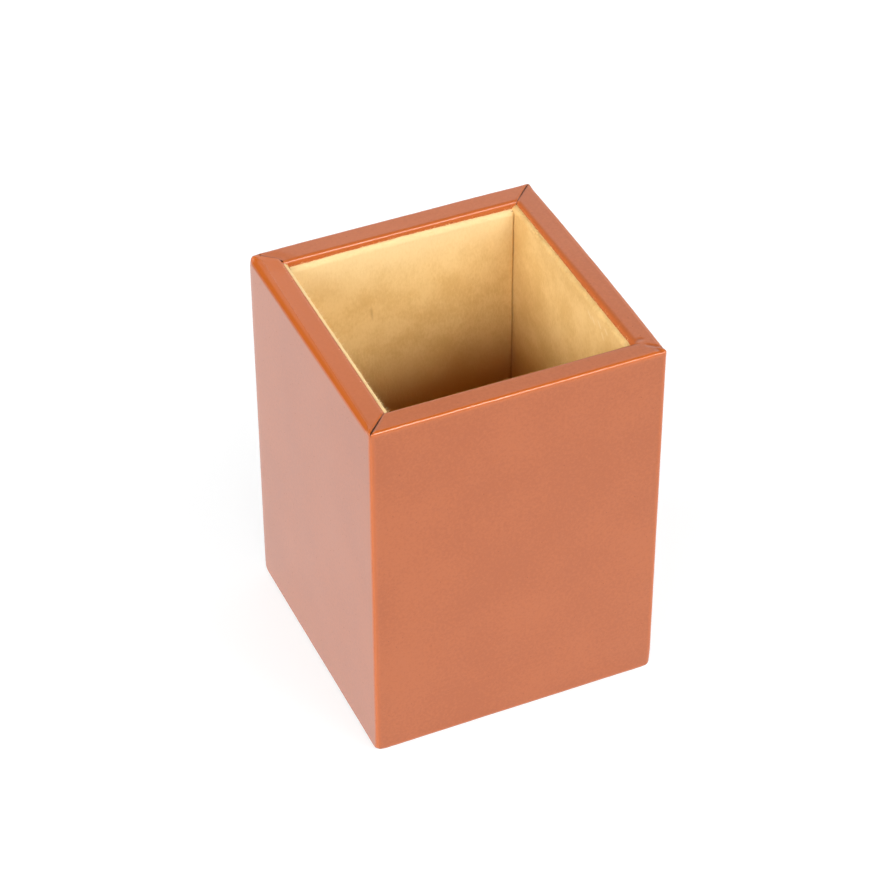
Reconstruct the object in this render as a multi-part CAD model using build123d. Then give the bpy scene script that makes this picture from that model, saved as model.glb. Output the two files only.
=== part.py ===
from build123d import *
import os

# A square pen holder. Four wall boards and a base board are glued into an open box, and one sheet
# of leather is wrapped round it, folded over the rim into the mouth and folded under the base.
# Suede-covered cards line the well, and a felt pad closes the underside.
# Millimetres, +Z up. The origin is on the table, under the middle of the base.
# The front is the -Y side, and the back right edge hides the seam of the leather.

# Overall size, over the leather and the felt
OUTER_WIDTH = 75.0
OUTER_DEPTH = 75.0
OUTER_HEIGHT = 101.0

# Boards of the carcass
WALL_BOARD_THICKNESS = 5.0
BASE_BOARD_THICKNESS = 4.0
CORNER_REBATE = 2.5  # how far a side board's end is let into the front and back boards
BASE_REBATE = 2.0  # how far the base board's edge is let into the walls
BOARD_EDGE_ROUND = 0.4  # sanded edges that the leather bends round

# Leather cover
LEATHER_THICKNESS = 0.7
LEATHER_TURN_IN = 12.0  # from the rim down to the folded leather's edge inside the mouth
LEATHER_TURN_UNDER = 9.0  # from the outer face in to the folded leather's edge under the base
MITRE_GAP = 0.3  # open cut between two folds that meet at a corner
MITRE_DROP = 1.2  # how far a corner cut runs down, or up, the upright edge
SEAM_GAP = 0.2  # butt seam where the two ends of the sheet meet

# Lining cards and their suede
SUEDE_THICKNESS = 0.4
LINING_CARD_THICKNESS = 0.6
SIDE_LINING_DROP = 1.1  # from the rim down to the top of the left and right linings
END_LINING_DROP = 1.7  # from the rim down to the top of the front and back linings
LINING_FIT = 0.15  # gap at each upright edge of a front or back lining
FLOOR_CARD_THICKNESS = 0.8
FLOOR_FIT = 0.2  # gap round the floor lining

# Underside
FELT_THICKNESS = 0.6
FELT_MARGIN = 3.0  # from the outer face in to the edge of the felt
BASE_CARD_FIT = 0.2  # gap between the base card and the leather folded round it

CUT_OVERRUN = 3.0  # how far a cutting solid runs past what it cuts

# Levels above the table
core_bottom = FELT_THICKNESS + LEATHER_THICKNESS
core_top = OUTER_HEIGHT - LEATHER_THICKNESS
base_board_top = core_bottom + BASE_BOARD_THICKNESS
floor_card_top = base_board_top + FLOOR_CARD_THICKNESS
floor_top = floor_card_top + SUEDE_THICKNESS
turn_in_bottom = OUTER_HEIGHT - LEATHER_TURN_IN

# Plan sizes: the bare carcass, the well between bare boards, and the mouth inside the leather
core_width = OUTER_WIDTH - 2 * LEATHER_THICKNESS
core_depth = OUTER_DEPTH - 2 * LEATHER_THICKNESS
well_width = core_width - 2 * WALL_BOARD_THICKNESS
well_depth = core_depth - 2 * WALL_BOARD_THICKNESS
mouth_width = well_width - 2 * LEATHER_THICKNESS
mouth_depth = well_depth - 2 * LEATHER_THICKNESS
lining_thickness = LINING_CARD_THICKNESS + SUEDE_THICKNESS
rim_width = WALL_BOARD_THICKNESS + 2 * LEATHER_THICKNESS
leather_edge_round = BOARD_EDGE_ROUND + LEATHER_THICKNESS


def block(width, depth, bottom, top):
    """Upright block centred on the Z axis."""
    return Pos(0, 0, bottom) * Box(width, depth, top - bottom, align=(Align.CENTER, Align.CENTER, Align.MIN))


def rounded_block(width, depth, bottom, top, radius):
    """Block with all its edges rounded."""
    solid = block(width, depth, bottom, top)
    return fillet(solid.edges(), radius)


def mouth_edges(solid, width, depth, level):
    """The four edges round an opening of this size in a solid's top face."""
    lines = solid.edges().filter_by_position(Axis.Z, level, level)
    across = lines.filter_by_position(Axis.X, -width / 2, width / 2)
    return across.filter_by_position(Axis.Y, -depth / 2, depth / 2)


def carcass():
    """All the boards as one solid: a box with sanded edges, open at the top."""
    solid = rounded_block(core_width, core_depth, core_bottom, core_top, BOARD_EDGE_ROUND)
    solid -= block(well_width, well_depth, base_board_top, core_top + CUT_OVERRUN)
    return fillet(mouth_edges(solid, well_width, well_depth, core_top), BOARD_EDGE_ROUND)


def base_board():
    """Flat board let into the rebate at the foot of the walls."""
    grip = 2 * BASE_REBATE
    return block(well_width + grip, well_depth + grip, core_bottom, base_board_top)


def side_board_space(side):
    """The straight slab that the left (-1) or right (1) board is cut from."""
    length = well_depth + 2 * CORNER_REBATE
    slab = block(WALL_BOARD_THICKNESS, length, core_bottom, core_top)
    return Pos(side * (core_width - WALL_BOARD_THICKNESS) / 2, 0, 0) * slab


def end_board_space(side):
    """The straight slab, with a rebate at each end, that the front (-1) or back (1) board is cut from."""
    slab = block(core_width, WALL_BOARD_THICKNESS, core_bottom, core_top)
    slab = Pos(0, side * (core_depth - WALL_BOARD_THICKNESS) / 2, 0) * slab
    return slab - side_board_space(-1) - side_board_space(1)


def wall_boards():
    """The four walls, cut from the carcass along their glued joints."""
    whole = carcass() - base_board()
    return {
        "front_board": whole & end_board_space(-1),
        "back_board": whole & end_board_space(1),
        "left_board": whole & side_board_space(-1),
        "right_board": whole & side_board_space(1),
    }


def corner_slit(x_side, y_side, inner, bottom, top, gap):
    """Upright slab on a corner's diagonal, from outside the corner in to a square distance inner."""
    diagonal = 2**0.5
    slab = Box(
        CUT_OVERRUN + inner * diagonal,
        gap,
        top - bottom,
        align=(Align.MIN, Align.CENTER, Align.MIN),
    )
    slab = Pos(-CUT_OVERRUN, 0, bottom) * slab
    facing_in = {(1, 1): 225, (-1, 1): 315, (-1, -1): 45, (1, -1): 135}[x_side, y_side]
    return Pos(x_side * OUTER_WIDTH / 2, y_side * OUTER_DEPTH / 2, 0) * Rot(0, 0, facing_in) * slab


def leather_skin():
    """Leather all round the carcass, before its corners are cut: outside, rim, turn-in and turn-under."""
    skin = rounded_block(OUTER_WIDTH, OUTER_DEPTH, FELT_THICKNESS, OUTER_HEIGHT, leather_edge_round)
    skin -= block(mouth_width, mouth_depth, turn_in_bottom, OUTER_HEIGHT + CUT_OVERRUN)
    skin = fillet(mouth_edges(skin, mouth_width, mouth_depth, OUTER_HEIGHT), leather_edge_round)
    skin -= carcass()
    skin -= block(well_width, well_depth, base_board_top, turn_in_bottom)
    under_width = OUTER_WIDTH - 2 * LEATHER_TURN_UNDER
    under_depth = OUTER_DEPTH - 2 * LEATHER_TURN_UNDER
    return skin - block(under_width, under_depth, 0, core_bottom)


def leather_wrap():
    """One sheet: folds mitred at every corner, and its two ends meeting at the back right edge."""
    sheet = leather_skin()
    turn_in_reach = rim_width + CUT_OVERRUN
    under_reach = LEATHER_TURN_UNDER + CUT_OVERRUN
    over_rim = OUTER_HEIGHT + CUT_OVERRUN
    fold = 2 * BOARD_EDGE_ROUND
    turn_in = block(well_width + fold, well_depth + fold, turn_in_bottom, over_rim)
    for x_side in (-1, 1):
        for y_side in (-1, 1):
            slit = corner_slit(x_side, y_side, turn_in_reach, turn_in_bottom, over_rim, MITRE_GAP)
            rim_slit = corner_slit(
                x_side, y_side, turn_in_reach, OUTER_HEIGHT - MITRE_DROP, over_rim, MITRE_GAP
            )
            under_slit = corner_slit(
                x_side, y_side, under_reach, 0, FELT_THICKNESS + MITRE_DROP, MITRE_GAP
            )
            sheet -= slit & turn_in
            sheet -= rim_slit
            sheet -= under_slit
    return sheet - corner_slit(1, 1, leather_edge_round, 0, over_rim, SEAM_GAP)


def wall_lining(width, drop):
    """A lining card and its suede, standing against the plane Y = 0 and facing -Y."""
    top = OUTER_HEIGHT - drop
    against_wall = (Align.CENTER, Align.MAX, Align.MIN)
    card_height = top - SUEDE_THICKNESS - floor_top
    card = Pos(0, 0, floor_top) * Box(width, LINING_CARD_THICKNESS, card_height, align=against_wall)
    suede = Pos(0, 0, floor_top) * Box(width, lining_thickness, top - floor_top, align=against_wall)
    suede -= card
    folded_edge = suede.edges().filter_by(Axis.X).sort_by(Axis.Z)[-2:].sort_by(Axis.Y)[0]
    return card, fillet(folded_edge, SUEDE_THICKNESS)


def wall_linings():
    """The four wall linings. The side ones run the whole depth, and the end ones fit between them."""
    end_width = mouth_width - 2 * (lining_thickness + LINING_FIT)
    end_card, end_suede = wall_lining(end_width, END_LINING_DROP)
    side_card, side_suede = wall_lining(mouth_depth, SIDE_LINING_DROP)
    places = {
        "front": (Rot(0, 0, 180) * Pos(0, mouth_depth / 2, 0), end_card, end_suede),
        "back": (Pos(0, mouth_depth / 2, 0), end_card, end_suede),
        "left": (Rot(0, 0, 90) * Pos(0, mouth_width / 2, 0), side_card, side_suede),
        "right": (Rot(0, 0, -90) * Pos(0, mouth_width / 2, 0), side_card, side_suede),
    }
    linings = {}
    for wall, (place, card, suede) in places.items():
        linings[f"{wall}_lining_card"] = place * card
        linings[f"{wall}_lining_suede"] = place * suede
    return linings


def floor_lining():
    """The suede-covered card on the base board, under the feet of the wall linings."""
    width = well_width - 2 * FLOOR_FIT
    depth = well_depth - 2 * FLOOR_FIT
    return {
        "floor_lining_card": block(width, depth, base_board_top, floor_card_top),
        "floor_lining_suede": block(width, depth, floor_card_top, floor_top),
    }


def underside():
    """The card that levels the space inside the folded leather, and the felt that covers both."""
    inset = 2 * (LEATHER_TURN_UNDER + BASE_CARD_FIT)
    margin = 2 * FELT_MARGIN
    return {
        "base_card": block(OUTER_WIDTH - inset, OUTER_DEPTH - inset, FELT_THICKNESS, core_bottom),
        "base_felt": block(OUTER_WIDTH - margin, OUTER_DEPTH - margin, 0, FELT_THICKNESS),
    }


def build():
    """Every piece under the name of its node."""
    pieces = wall_boards()
    pieces["base_board"] = base_board()
    pieces["leather_wrap"] = leather_wrap()
    pieces.update(wall_linings())
    pieces.update(floor_lining())
    pieces.update(underside())
    return pieces


os.makedirs("parts", exist_ok=True)
for node, piece in build().items():
    export_step(piece, f"parts/{node}.step")
    print(node, "solids", len(piece.solids()), "volume", round(piece.volume, 1))
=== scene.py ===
# %% [markdown]
# # A square leather pen pot
# The pot is a glued box of fibreboard. One sheet of smooth tan leather is folded round it, suede-covered
# cards line the well, and a felt pad closes the underside. The boards and cards come from the packed
# model and only get a finish here. The leather, the suede and the felt are soft, so each is made again
# as a thin sheet with real folds, cuts and nap, in the place that its plain solid holds.

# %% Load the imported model
import math
from types import SimpleNamespace

import bpy
import numpy as np
from mathutils import Matrix, Vector


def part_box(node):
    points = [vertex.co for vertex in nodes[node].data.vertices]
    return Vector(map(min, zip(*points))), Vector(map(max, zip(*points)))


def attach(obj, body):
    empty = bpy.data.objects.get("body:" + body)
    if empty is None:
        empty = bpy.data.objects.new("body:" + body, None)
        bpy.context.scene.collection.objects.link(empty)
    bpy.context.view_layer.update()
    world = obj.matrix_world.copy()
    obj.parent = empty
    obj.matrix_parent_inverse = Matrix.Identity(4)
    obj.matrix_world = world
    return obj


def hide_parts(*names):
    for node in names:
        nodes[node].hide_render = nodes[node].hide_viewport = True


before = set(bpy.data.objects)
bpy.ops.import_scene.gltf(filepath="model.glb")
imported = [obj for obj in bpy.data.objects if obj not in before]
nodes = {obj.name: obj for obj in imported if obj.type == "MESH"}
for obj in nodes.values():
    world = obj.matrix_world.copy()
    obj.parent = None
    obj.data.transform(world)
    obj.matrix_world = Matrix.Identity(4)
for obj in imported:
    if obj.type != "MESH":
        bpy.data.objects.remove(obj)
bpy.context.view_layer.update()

# %% [markdown]
# ## Sizes
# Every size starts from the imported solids, so that the skins fit the boards they cover. What the boxes of
# the solids can't tell, such as the radius of a fold, is a named value in millimetres times MM.

# %% Read the sizes of the pot
MM = 0.001
cover_low, cover_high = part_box("leather_wrap")
board_low, board_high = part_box("front_board")
OUTER_WIDTH = cover_high.x - cover_low.x
RIM_TOP = cover_high.z
COVER_BASE = cover_low.z
LEATHER_THICKNESS = board_low.y - cover_low.y
RIM_WIDTH = board_high.y - cover_low.y + LEATHER_THICKNESS
print(f"outer width {OUTER_WIDTH / MM:.1f} mm, rim {RIM_WIDTH / MM:.1f} mm wide at {RIM_TOP / MM:.1f} mm")

# %% [markdown]
# ## The camera
# The straight edges of the pot meet at vanishing points, and those give the lens and the place of the
# camera: a long lens, in front, to the left and well above the rim. The square image needs no shift.

# %% Place the camera
CAMERA_PLACE = (-0.2381, -0.5280, 0.5356)
CAMERA_HEADING = math.radians(-24.14)
CAMERA_DIP = math.radians(39.61)
CAMERA_ROLL = math.radians(-0.09)
CAMERA_LENS = 123.2
SENSOR_WIDTH = 36.0

camera_data = bpy.data.cameras.new("camera")
camera_data.lens = CAMERA_LENS
camera_data.sensor_width = SENSOR_WIDTH
camera = bpy.data.objects.new("camera", camera_data)
aim = Matrix.Rotation(CAMERA_HEADING, 4, "Z") @ Matrix.Rotation(math.pi / 2 - CAMERA_DIP, 4, "X")
camera.matrix_world = Matrix.Translation(CAMERA_PLACE) @ aim @ Matrix.Rotation(CAMERA_ROLL, 4, "Z")
bpy.context.scene.collection.objects.link(camera)
bpy.context.scene.camera = camera
print("camera stands", round((camera.location - Vector((0, 0, RIM_TOP))).length, 3), "m from the rim")

# %% [markdown]
# ## Formulas as nodes
# Folds, ripples and finishes are all formulas. A node tree holds a formula as a web of Math nodes, which
# is slow to read when each node takes several lines. The small class below lets plain arithmetic add the
# nodes, so a tree in this lesson reads like the sum it stands for.

# %% Add nodes and feed them
def add_node(tree, kind, feeds=(), **settings):
    """Add one node, set it up, and feed its inputs by name or in order."""
    node = tree.nodes.new(kind)
    for name, value in settings.items():
        setattr(node, name, value)
    shown = [socket for socket in node.inputs if socket.enabled]
    if isinstance(feeds, dict):
        by_name = {socket.name: socket for socket in reversed(shown)}
        feeds = [(by_name[name], feed) for name, feed in feeds.items()]
    else:
        feeds = zip(shown, feeds)
    for socket, feed in feeds:
        feed = feed.socket if isinstance(feed, Field) else feed
        if isinstance(feed, bpy.types.NodeSocket):
            tree.links.new(feed, socket)
        elif feed is not None:
            socket.default_value = feed
    return node


def result(node):
    """The first output that the node shows."""
    return next(socket for socket in node.outputs if socket.enabled)


# %% Let arithmetic add Math nodes
class Field:
    """A number that flows through a node tree."""

    def __init__(self, tree, socket):
        self.tree = tree
        self.socket = socket

    def calc(self, operation, *others):
        node = add_node(self.tree, "ShaderNodeMath", [self, *others], operation=operation)
        return Field(self.tree, node.outputs[0])

    def __add__(self, other):
        return self.calc("ADD", other)

    def __sub__(self, other):
        return self.calc("SUBTRACT", other)

    def __mul__(self, other):
        return self.calc("MULTIPLY", other)

    def __truediv__(self, other):
        return self.calc("DIVIDE", other)

    def __rsub__(self, other):
        return self * -1.0 + other

    def __rtruediv__(self, other):
        return self.calc("POWER", -1.0) * other

    __radd__ = __add__
    __rmul__ = __mul__

    def least(self, other):
        return self.calc("MINIMUM", other)

    def most(self, other):
        return self.calc("MAXIMUM", other)

    def below(self, limit):
        return self.calc("LESS_THAN", limit)

    def size(self):
        return self.calc("ABSOLUTE")

    def rise(self, start, end):
        """0 up to start, 1 from end on, and a smooth step between them."""
        feeds = [self, start, end]
        node = add_node(self.tree, "ShaderNodeMapRange", feeds, interpolation_type="SMOOTHSTEP")
        return Field(self.tree, node.outputs[0])


LEAST_LENGTH = 1e-9


def length_of(*parts):
    """The length of a vector with these parts, never quite zero."""
    total = parts[0] * parts[0]
    for part in parts[1:]:
        total = total + part * part
    return total.calc("SQRT").most(LEAST_LENGTH)


# %% [markdown]
# Each soft piece starts as a raw mesh on a worker, an object made only to carry modifiers. The trees go on
# the worker as Geometry Nodes modifiers, and the evaluated result is kept as a plain mesh. A live modifier
# would be easier to change later, but a plain mesh holds the shape just as it looks here.

# %% Start a tree and use it
SOCKET_KINDS = {"sheet": "NodeSocketGeometry", "object": "NodeSocketObject", "finish": "NodeSocketMaterial"}


def new_tree(name, inputs):
    """A Geometry Nodes tree with a sheet going in and out, and named inputs of a kind."""
    tree = bpy.data.node_groups.new(name, "GeometryNodeTree")
    for label, kind in {"Sheet": "sheet", **inputs}.items():
        socket_type = SOCKET_KINDS.get(kind, "NodeSocketFloat")
        tree.interface.new_socket(label, in_out="INPUT", socket_type=socket_type)
    tree.interface.new_socket("Sheet", in_out="OUTPUT", socket_type=SOCKET_KINDS["sheet"])
    return tree, tree.nodes.new("NodeGroupInput").outputs


def close_tree(tree, sheet, finish):
    """End a tree: real geometry, one finish, and out."""
    real = add_node(tree, "GeometryNodeRealizeInstances", [sheet])
    dressed = add_node(tree, "GeometryNodeSetMaterial", {"Geometry": result(real), "Material": finish})
    tree.links.new(result(dressed), tree.nodes.new("NodeGroupOutput").inputs[0])


def use_tree(piece, tree, values):
    """Put a tree on an object and set its inputs by their identifiers."""
    modifier = piece.modifiers.new(tree.name, "NODES")
    modifier.node_group = tree
    for item in tree.interface.items_tree:
        if item.in_out == "INPUT" and item.name in values:
            modifier[item.identifier] = values[item.name]


# %% Keep the result as a plain mesh
SHARP_ANGLE = math.radians(50)


def new_worker(name, vertices, faces=(), edges=()):
    """A linked object that holds a raw mesh."""
    mesh = bpy.data.meshes.new(name)
    mesh.from_pydata(vertices, edges, faces)
    worker = bpy.data.objects.new(name, mesh)
    bpy.context.scene.collection.objects.link(worker)
    return worker


def store_values(worker, name, values):
    """Give each point of a raw mesh a value under this name."""
    layer = worker.data.attributes.new(name, "FLOAT", "POINT")
    layer.data.foreach_set("value", np.asarray(values, dtype=np.float32))


def solidify(worker, thickness):
    """Give a sheet its thickness, inwards from the side that shows."""
    modifier = worker.modifiers.new("thickness", "SOLIDIFY")
    modifier.thickness = thickness
    modifier.offset = -1.0


def plain_piece(worker, name):
    """The evaluated worker as a plain smooth mesh; the worker and its mesh are removed."""
    graph = bpy.context.evaluated_depsgraph_get()
    shape = worker.evaluated_get(graph)
    mesh = bpy.data.meshes.new_from_object(shape, preserve_all_data_layers=True, depsgraph=graph)
    mesh.name = name
    raw_mesh = worker.data
    bpy.data.objects.remove(worker)
    bpy.data.meshes.remove(raw_mesh)
    mesh.shade_smooth()
    mesh.set_sharp_from_angle(angle=SHARP_ANGLE)
    piece = bpy.data.objects.new(name, mesh)
    bpy.context.scene.collection.objects.link(piece)
    triangles = sum(len(face.vertices) - 2 for face in mesh.polygons)
    print(f"{name}: {triangles} triangles, {len(mesh.vertices)} vertices")
    return piece


# %% [markdown]
# ## The leather finish
# The leather is vegetable-tanned and smooth, with a thin wax finish. Its colour clouds a little over a few
# centimetres and speckles at the scale of its pores. Edges are rubbed while the glue dries, which leaves
# them a little glossier. Their colour is painted redder and lighter, partly for the rubbing and partly as
# painted light, and the rim is painted redder and lighter as painted light, most on the left. The cut ends
# of the folds are dark, partly stained and partly painted shade in their gaps, and the creases of the
# pleat get painted shade. The folding step below stores in three attributes how near each point is to an
# edge, how much painted light the rim takes and how near a cut is, and the finish reads all three.

# %% Helpers for finishes
def new_finish(name, **sockets):
    """A material whose shader has these constants, with its tree, its shader and Object coordinates."""
    material = bpy.data.materials.new(name)
    material.use_nodes = True
    tree = material.node_tree
    shader = tree.nodes["Principled BSDF"]
    for label, value in sockets.items():
        shader.inputs[label.replace("_", " ").title().replace("Ior", "IOR")].default_value = value
    place = add_node(tree, "ShaderNodeTexCoord").outputs["Object"]
    return material, tree, shader, place


def noise(tree, place, size, detail=2.0, roughness=0.5, stretch=None):
    """Smooth noise from 0 to 1 whose lumps are about this size in metres."""
    if stretch:
        scaled = add_node(tree, "ShaderNodeVectorMath", [place, stretch], operation="MULTIPLY")
        place = result(scaled)
    feeds = {"Vector": place, "Scale": 1.0 / size, "Detail": detail, "Roughness": roughness}
    return Field(tree, add_node(tree, "ShaderNodeTexNoise", feeds).outputs[0])


def spots(tree, place, spacing, radius, share):
    """Round dots of one radius on a jittered grid, of which only a share is kept."""
    feeds = {"Vector": place, "Scale": 1.0 / spacing, "Randomness": 1.0}
    cells = add_node(tree, "ShaderNodeTexVoronoi", feeds, feature="F1")
    distance = Field(tree, cells.outputs["Distance"]) * spacing
    pick = Field(tree, add_node(tree, "ShaderNodeSeparateColor", [cells.outputs["Color"]]).outputs[0])
    return (1.0 - distance.rise(radius * 0.5, radius)) * pick.below(share)


def carried(tree, name):
    """A value that the mesh carries, read by a finish."""
    return Field(tree, add_node(tree, "ShaderNodeAttribute", attribute_name=name).outputs["Fac"])


def tint(tree, amount, low, high):
    """A colour between two, by an amount from 0 to 1. Either may be a colour or an output."""
    mix = add_node(tree, "ShaderNodeMix", [amount, low, high], data_type="RGBA")
    return result(mix)


def bump(tree, shader, height, depth):
    """Feed the shader a bumped normal from a height from 0 to 1, this deep in metres."""
    feeds = {"Strength": 1.0, "Distance": depth, "Height": height}
    tree.links.new(result(add_node(tree, "ShaderNodeBump", feeds)), shader.inputs["Normal"])


# %% Mix the leather finish
LEATHER_TAN = (0.455, 0.109, 0.026, 1.0)
LEATHER_PALE = (0.505, 0.127, 0.033, 1.0)
# The edge colour: rubbed leather, and painted light on the edges and the rim.
LEATHER_RUBBED_AND_LIT = (0.660, 0.152, 0.025, 1.0)
# Pores, and painted shade in the creases of the pleat.
PORE_AND_SHADE_BROWN = (0.26, 0.06, 0.02, 1.0)
# Cut ends: stained leather, and painted shade in the gaps.
CUT_BROWN = (0.07, 0.024, 0.012, 1.0)
DUST = (0.85, 0.60, 0.42, 1.0)
CLOUD_SIZE = 20 * MM
FLECK_SIZE = 0.8 * MM
PORES = {"spacing": 1.9 * MM, "radius": 0.16 * MM, "share": 0.40}
DUST_SPECKS = {"spacing": 6.0 * MM, "radius": 0.16 * MM, "share": 0.2}
DUST_SHIFT = (0.31, 0.17, 0.23)
CREASE_SHADE_TINT = 0.35
PORE_TINT = 0.75
CUT_TINT = 0.9
WAXED_ROUGHNESS = 0.30
EDGE_SMOOTHING = 0.21
WAX_COAT = 0.44
EDGE_COAT = 0.54
SHINE_FALL = 4.0
WAX_LOSS = 0.8
FINE_GRAIN = 0.3 * MM
COARSE_GRAIN = 1.0 * MM
GRAIN_DEPTH = 0.028 * MM


def leather_finish():
    material, tree, shader, place = new_finish("tan_leather", ior=1.5, coat_roughness=0.13)
    clouds = noise(tree, place, CLOUD_SIZE, detail=3.0)
    flecks = noise(tree, place, FLECK_SIZE, detail=4.0, roughness=0.7)
    pores = spots(tree, place, **PORES)
    shifted = add_node(tree, "ShaderNodeVectorMath", [place, DUST_SHIFT], operation="ADD")
    dust = spots(tree, result(shifted), **DUST_SPECKS)
    edge = carried(tree, "burnish").most(carried(tree, "ridge"))
    cut = carried(tree, "stain")

    colour = tint(tree, (clouds * 0.35 + flecks * 0.65).rise(0.40, 0.60), LEATHER_TAN, LEATHER_PALE)
    # Painted light: edges and the rim take a redder, lighter colour, the edges partly for rubbing.
    colour = tint(tree, edge.most(carried(tree, "tone")), colour, LEATHER_RUBBED_AND_LIT)
    # Painted shade in the creases of the pleat.
    colour = tint(tree, carried(tree, "crease") * CREASE_SHADE_TINT, colour, PORE_AND_SHADE_BROWN)
    colour = tint(tree, pores * PORE_TINT, colour, PORE_AND_SHADE_BROWN)
    colour = tint(tree, dust, colour, DUST)
    # Dark cut ends: stain, and painted shade in the gaps.
    colour = tint(tree, cut * CUT_TINT, colour, CUT_BROWN)
    tree.links.new(colour, shader.inputs["Base Color"])

    shine = edge.calc("POWER", SHINE_FALL)
    roughness = WAXED_ROUGHNESS - shine * EDGE_SMOOTHING + flecks * 0.04 + pores * 0.3
    tree.links.new(roughness.socket, shader.inputs["Roughness"])
    coat = (WAX_COAT + shine * EDGE_COAT) * (1.0 - pores.most(cut) * WAX_LOSS)
    tree.links.new(coat.socket, shader.inputs["Coat Weight"])
    grain = noise(tree, place, FINE_GRAIN) * 0.5 + noise(tree, place, COARSE_GRAIN) * 0.5
    bump(tree, shader, grain * (0.6 + edge * 1.8), GRAIN_DEPTH)
    return material


LEATHER = leather_finish()
print("finish:", LEATHER.name)

# %% [markdown]
# ## The leather wrap
# On the bench the cover is a flat blank: four wall panels side by side, each with a flap above for the rim
# and the mouth and a flap below for the base. It could be modelled on the box face by face, but its shape
# follows one rule, so a Geometry Nodes tree folds the flat blank instead. The tree reads how far along a
# wall and how far across the sheet a point lies, and works out where that point goes. The blank has fine
# rows where the sheet bends and at the cuts, and coarse rows on the flat walls.

# %% Lay out the flat blank
TURN_IN = 12.0 * MM
TURN_UNDER = 9.0 * MM
EDGE_RADIUS = 1.1 * MM
WALL_HEIGHT = RIM_TOP - COVER_BASE
BEND_STRETCH = 3.0 * MM
CORNER_STRETCH = 8.0 * MM
WALLS = ("front", "right", "back", "left")


def stations(*stretches):
    """Rising positions from 0 through stretches given as (length, step)."""
    marks = [np.zeros(1)]
    for length, step in stretches:
        count = max(1, round(length / step))
        marks.append(marks[-1][-1] + np.arange(1, count + 1) * (length / count))
    return np.concatenate(marks)


ALONG = stations(
    (CORNER_STRETCH, 0.22 * MM), (OUTER_WIDTH - 2 * CORNER_STRETCH, 2.4 * MM), (CORNER_STRETCH, 0.22 * MM)
) - OUTER_WIDTH / 2
ACROSS = stations(
    (TURN_IN - BEND_STRETCH, 3.0 * MM),
    (BEND_STRETCH, 0.4 * MM),
    (RIM_WIDTH, 0.27 * MM),
    (BEND_STRETCH, 0.25 * MM),
    (WALL_HEIGHT - 2 * BEND_STRETCH, 2.6 * MM),
    (BEND_STRETCH, 0.3 * MM),
    (TURN_UNDER, 1.0 * MM),
)


def grid_faces(columns, rows, first=0):
    """Quads of a grid stored column by column, facing outwards when rows run down the wall."""
    corner = first + np.arange(columns - 1)[:, None] * rows + np.arange(rows - 1)[None, :]
    quads = np.stack([corner, corner + 1, corner + rows + 1, corner + rows], axis=-1)
    return quads.reshape(-1, 4).tolist()


def leather_blank(details):
    """The flat sheet. Details gives each wall's values, which every point of that wall carries."""
    flat = np.stack(np.meshgrid(ALONG, ACROSS, indexing="ij"), axis=-1).reshape(-1, 2)
    panel = np.column_stack([flat, np.zeros(len(flat))])
    faces = []
    for wall in range(len(WALLS)):
        faces += grid_faces(len(ALONG), len(ACROSS), wall * len(panel))
    blank = new_worker("leather_blank", np.tile(panel, (len(WALLS), 1)), faces)
    for name, values in details.items():
        store_values(blank, name, np.repeat(values, len(panel)))
    return blank


print(f"blank: {len(ALONG)} columns and {len(ACROSS)} rows on each wall")

# %% [markdown]
# The four corners of the rim differ, as hand work does. The front left and back right folds are trimmed
# to a plain mitre that stays a little open. At the back left the left fold laps past the mitre over the
# back one. At the front right the leather is pleated round the corner without a cut. The two ends of the
# sheet meet at the back right edge. The leather also rolls over the rim more or less tightly, most loosely
# on the left, where the edge colour reaches widest and the rim takes the most painted light. Each wall
# stores such values for its near and far end, which are its left and right end seen from outside. Two sets
# of drawn lines then give the creases of the pleat, which also get painted shade, and its ridges, which
# take the edge colour.

# %% Describe the corners
ENDS = ("near", "far")

# In millimetres, at the near end of the front, right, back and left wall: how far a cut stands open on the
# rim and down the wall, how far a fold laps past the mitre, the radius of the upright edge, how far its tip
# is pressed in, and the radius of the fold into the mouth. The far end of a wall takes the value of the next
# wall's near end. So does how dark a cut is, from 0 to 1: a stained cut end and painted shade in its gap.
CORNER_LENGTHS = {
    "gap": (0.30, 0.0, 0.20, 0.42),
    "seam": (0.0, 0.0, 0.16, 0.0),
    "lap": (0.0, 0.0, 0.0, 1.35),
    "round": (0.8, 0.8, 0.8, 0.85),
    "clip": (0.0, 0.0, 0.0, 0.45),
    "mouth": (0.9, 1.7, 0.9, 0.9),
}
CUT_STAIN_AND_SHADE = (0.9, 0.0, 0.6, 1.0)

# In millimetres, at the near end and at the far end of each wall: how far a cut end is pressed down, how
# far the fold stands into the mouth, the radius of the roll over the rim, and how far in the rim the edge
# colour reaches, which is rubbing and painted light. The rim light is how much painted light lightens and
# reddens the rim, from 0 to 1, and the bow how far the middle of a wall bulges.
END_LENGTHS = {
    "sink": ((0.16, 0.0, 0.14, 0.0), (0.0, 0.14, 0.0, 0.16)),
    "inward": ((0.0, 0.0, 0.0, 0.6), (0.0, 0.0, 0.0, 0.1)),
    "roll": ((0.75, 1.2, 1.0, 2.2), (0.75, 1.2, 1.0, 1.5)),
    "rub": ((1.7, 1.7, 1.7, 6.0), (1.7, 1.7, 1.7, 2.4)),
}
RIM_PAINTED_LIGHT = ((0.25, 0.15, 0.28, 0.75), (0.0, 0.15, 0.24, 0.42))
WALL_BOW = (0.0, 0.35, 0.12, 0.0)

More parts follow.
